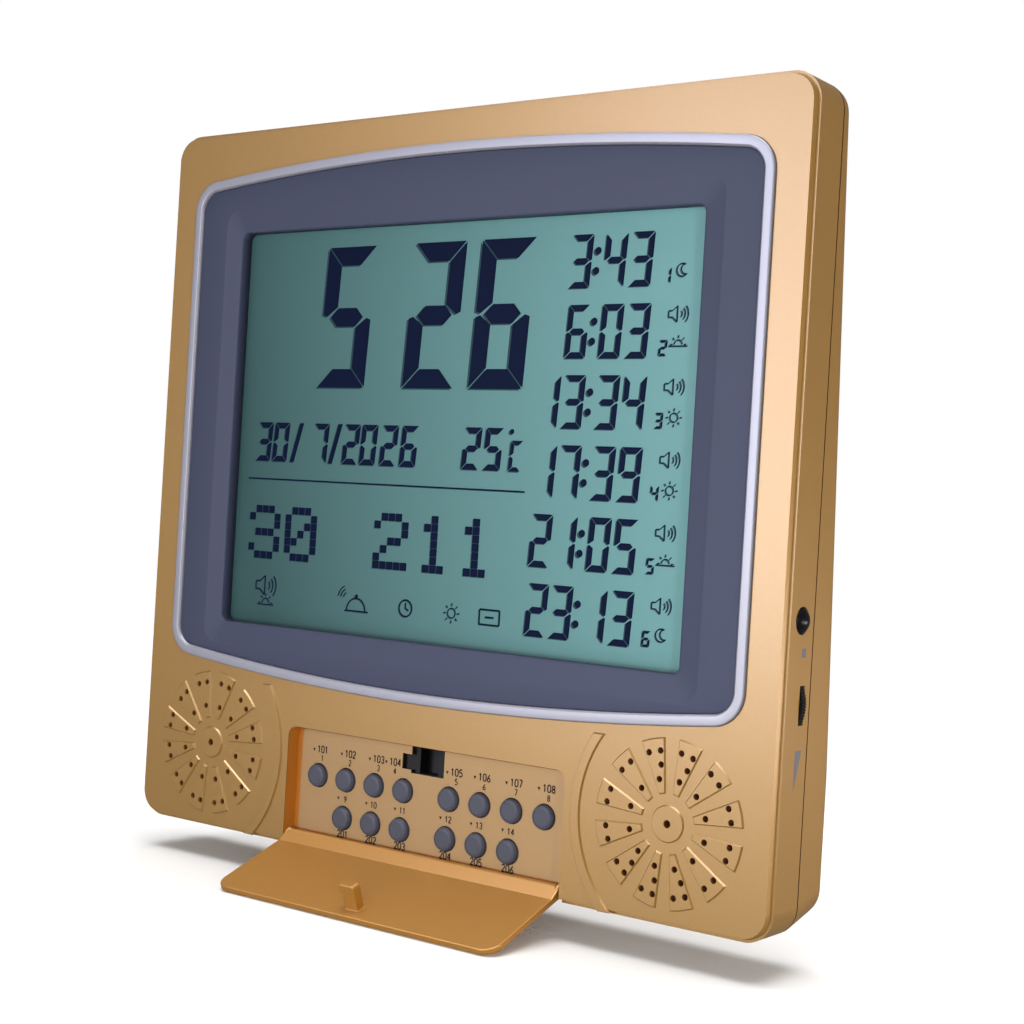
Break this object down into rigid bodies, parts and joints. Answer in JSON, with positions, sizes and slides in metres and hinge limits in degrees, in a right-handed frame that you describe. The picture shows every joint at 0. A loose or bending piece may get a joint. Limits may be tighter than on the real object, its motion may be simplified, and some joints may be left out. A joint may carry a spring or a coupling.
{
  "type": "clock",
  "caption": "Wall and desk clock with a large liquid crystal display in a silver ring, two speaker grilles, and a keypad behind an open drop-down door.",
  "frame": {"origin": "Midway between the round ends of the two wall keyholes, on the back of the case. +X right as seen from the front, +Y into the wall, +Z up.", "axes": "X across the clock (its line of symmetry is the plane X=0), Y from the display to the wall, Z from the keypad up to the top."},
  "size_m": [0.2281, 0.0572, 0.227],
  "materials": {
    "case_paint": "satin metallic",
    "keypad_print": "satin metallic",
    "door_paint": "satin metallic",
    "trim": "satin",
    "bezel_plastic": "fine matt",
    "lcd_glass": "clear over grey-green",
    "white_plastic": "plain",
    "connector_rubber": "plain",
    "board": "solder mask",
    "chip": "plain",
    "key_rubber": "fine matt",
    "black_plastic": "gloss",
    "steel": "plain",
    "cone_paper": "paper",
    "magnet": "plain",
    "cell_wrap": "gloss",
    "wire_red": "plain",
    "wire_black": "plain",
    "ribbon": "plain"
  },
  "bodies": {
    "case": {"front_case": "case_paint", "rear_cover": "case_paint", "trim_ring": "trim", "display_bezel": "bezel_plastic", "lcd_panel": "lcd_glass", "lcd_reflector": "white_plastic", "lcd_holder": "white_plastic", "strip_connectors": "connector_rubber", "main_board": "board", "board_parts": "chip", "keypad_sheet": "keypad_print", "key_mat": "key_rubber", "key_board": "board", "key_ribbon": "ribbon", "latch_catch": "black_plastic", "stop_switch": "black_plastic", "volume_control": "steel", "side_board": "board", "left_speaker_basket": "steel", "left_speaker_cone": "cone_paper", "left_speaker_magnet": "magnet", "right_speaker_basket": "steel", "right_speaker_cone": "cone_paper", "right_speaker_magnet": "magnet", "battery_1": "cell_wrap", "battery_2": "cell_wrap", "battery_3": "cell_wrap", "battery_4": "cell_wrap", "battery_springs": "steel", "battery_plates": "steel", "case_screws": "steel", "board_screws": "steel", "left_speaker_leads": "wire_red", "right_speaker_leads": "wire_red", "battery_leads": "wire_black"},
    "key_01": {"key_01": "key_rubber"},
    "key_02": {"key_02": "key_rubber"},
    "key_03": {"key_03": "key_rubber"},
    "key_04": {"key_04": "key_rubber"},
    "key_05": {"key_05": "key_rubber"},
    "key_06": {"key_06": "key_rubber"},
    "key_07": {"key_07": "key_rubber"},
    "key_08": {"key_08": "key_rubber"},
    "key_09": {"key_09": "key_rubber"},
    "key_10": {"key_10": "key_rubber"},
    "key_11": {"key_11": "key_rubber"},
    "key_12": {"key_12": "key_rubber"},
    "key_13": {"key_13": "key_rubber"},
    "key_14": {"key_14": "key_rubber"},
    "door": {"keypad_door": "door_paint"},
    "stop": {"stop_button": "black_plastic"},
    "wheel": {"volume_wheel": "black_plastic"},
    "cover": {"battery_cover": "case_paint"}
  },
  "joints": [
    {"name": "key_01_press", "type": "slide", "parent": "case", "child": "key_01", "axis": [0, 1, 0], "range_m": [0, 0.0008], "stiffness_N_per_m": 400},
    {"name": "key_02_press", "type": "slide", "parent": "case", "child": "key_02", "axis": [0, 1, 0], "range_m": [0, 0.0008], "stiffness_N_per_m": 400},
    {"name": "key_03_press", "type": "slide", "parent": "case", "child": "key_03", "axis": [0, 1, 0], "range_m": [0, 0.0008], "stiffness_N_per_m": 400},
    {"name": "key_04_press", "type": "slide", "parent": "case", "child": "key_04", "axis": [0, 1, 0], "range_m": [0, 0.0008], "stiffness_N_per_m": 400},
    {"name": "key_05_press", "type": "slide", "parent": "case", "child": "key_05", "axis": [0, 1, 0], "range_m": [0, 0.0008], "stiffness_N_per_m": 400},
    {"name": "key_06_press", "type": "slide", "parent": "case", "child": "key_06", "axis": [0, 1, 0], "range_m": [0, 0.0008], "stiffness_N_per_m": 400},
    {"name": "key_07_press", "type": "slide", "parent": "case", "child": "key_07", "axis": [0, 1, 0], "range_m": [0, 0.0008], "stiffness_N_per_m": 400},
    {"name": "key_08_press", "type": "slide", "parent": "case", "child": "key_08", "axis": [0, 1, 0], "range_m": [0, 0.0008], "stiffness_N_per_m": 400},
    {"name": "key_09_press", "type": "slide", "parent": "case", "child": "key_09", "axis": [0, 1, 0], "range_m": [0, 0.0008], "stiffness_N_per_m": 400},
    {"name": "key_10_press", "type": "slide", "parent": "case", "child": "key_10", "axis": [0, 1, 0], "range_m": [0, 0.0008], "stiffness_N_per_m": 400},
    {"name": "key_11_press", "type": "slide", "parent": "case", "child": "key_11", "axis": [0, 1, 0], "range_m": [0, 0.0008], "stiffness_N_per_m": 400},
    {"name": "key_12_press", "type": "slide", "parent": "case", "child": "key_12", "axis": [0, 1, 0], "range_m": [0, 0.0008], "stiffness_N_per_m": 400},
    {"name": "key_13_press", "type": "slide", "parent": "case", "child": "key_13", "axis": [0, 1, 0], "range_m": [0, 0.0008], "stiffness_N_per_m": 400},
    {"name": "key_14_press", "type": "slide", "parent": "case", "child": "key_14", "axis": [0, 1, 0], "range_m": [0, 0.0008], "stiffness_N_per_m": 400},
    {"name": "door_hinge", "type": "hinge", "parent": "case", "child": "door", "pos_m": [0, -0.01824, -0.1931], "axis": [-1, 0, 0], "range_deg": [0, 110.6]},
    {"name": "stop_press", "type": "slide", "parent": "case", "child": "stop", "axis": [-1, 0, 0], "range_m": [0, 0.0008], "stiffness_N_per_m": 400},
    {"name": "volume_turn", "type": "hinge", "parent": "case", "child": "wheel", "pos_m": [0.10305, -0.01004, -0.1367], "axis": [0, 1, 0], "range_deg": [-135, 135]},
    {"name": "battery_cover_hinge", "type": "hinge", "parent": "case", "child": "cover", "pos_m": [0, 0.00806, -0.1896], "axis": [-1, 0, 0], "range_deg": [0, 75]}
  ]
}
